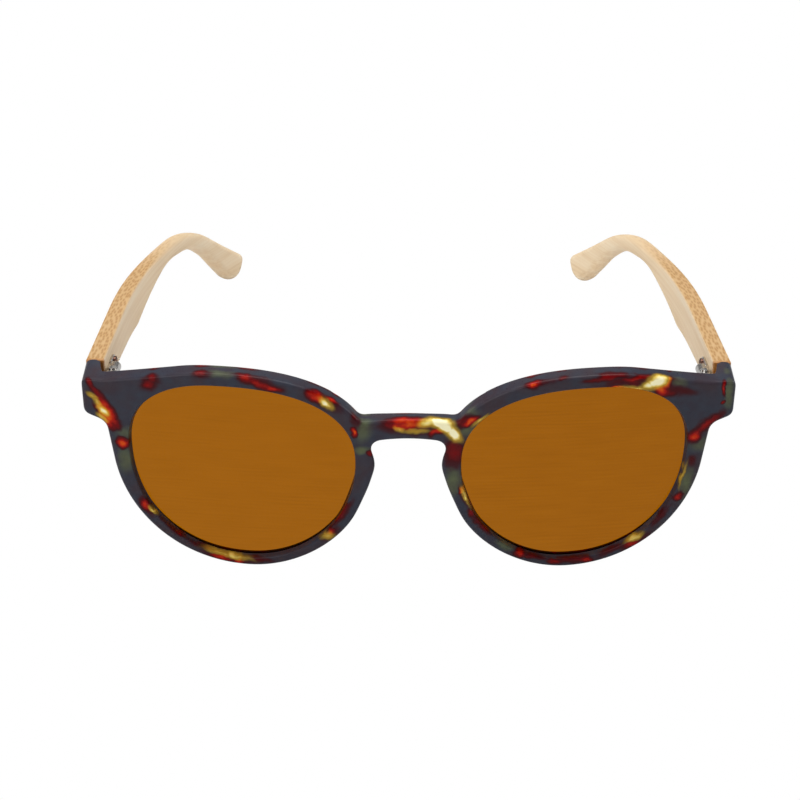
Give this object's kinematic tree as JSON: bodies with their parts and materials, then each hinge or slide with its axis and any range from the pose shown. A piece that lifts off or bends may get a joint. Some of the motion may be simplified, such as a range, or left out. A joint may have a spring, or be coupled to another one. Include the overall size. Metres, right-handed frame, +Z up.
{
  "type": "sunglasses",
  "caption": "Round sunglasses with a matte tortoiseshell plastic front, amber lenses and slim bamboo temples that fold on sprung metal hinges.",
  "frame": {"origin": "middle of the bounding box, on the table that the rim bottoms and the temple tips rest on", "axes": "+Z up, front facing -Y, temples running to +Y, the wearer's left temple at +X"},
  "size_m": [0.144, 0.155, 0.0514],
  "materials": {
    "tortoise_front": "matte tortoiseshell",
    "amber_lens": "gloss tinted",
    "bamboo": "satin",
    "hinge_steel": "bright",
    "spring_steel": "plain",
    "collar_brass": "plain"
  },
  "bodies": {
    "front": {"front_frame": "tortoise_front", "lens_left": "amber_lens", "lens_right": "amber_lens", "front_leaf_left": "hinge_steel", "front_leaf_right": "hinge_steel", "hinge_screw_left": "hinge_steel", "hinge_screw_right": "hinge_steel"},
    "slider_left": {"slider_left": "hinge_steel", "spring_collar_left": "collar_brass"},
    "temple_left": {"temple_left": "bamboo", "housing_left": "hinge_steel", "housing_screw_left": "hinge_steel", "spring_left": "spring_steel"},
    "slider_right": {"slider_right": "hinge_steel", "spring_collar_right": "collar_brass"},
    "temple_right": {"temple_right": "bamboo", "housing_right": "hinge_steel", "housing_screw_right": "hinge_steel", "spring_right": "spring_steel"}
  },
  "joints": [
    {"name": "left_fold", "type": "hinge", "parent": "front", "child": "slider_left", "pos_m": [-0.0665, -0.06229, 0.04324], "axis": [0, -0.1719, -0.9851], "range_deg": [0, 84.9]},
    {"name": "left_spring_travel", "type": "slide", "parent": "slider_left", "child": "temple_left", "axis": [0, 0.9851, -0.1719], "range_m": [0, 0.0009], "stiffness_N_per_m": 3000, "springref_m": -0.001, "deforming": ["spring_left"]},
    {"name": "right_fold", "type": "hinge", "parent": "front", "child": "slider_right", "pos_m": [0.0665, -0.06229, 0.04324], "axis": [0, 0.1719, 0.9851], "range_deg": [0, 70]},
    {"name": "right_spring_travel", "type": "slide", "parent": "slider_right", "child": "temple_right", "axis": [0, 0.9851, -0.1719], "range_m": [0, 0.0009], "stiffness_N_per_m": 3000, "springref_m": -0.001, "deforming": ["spring_right"]}
  ]
}
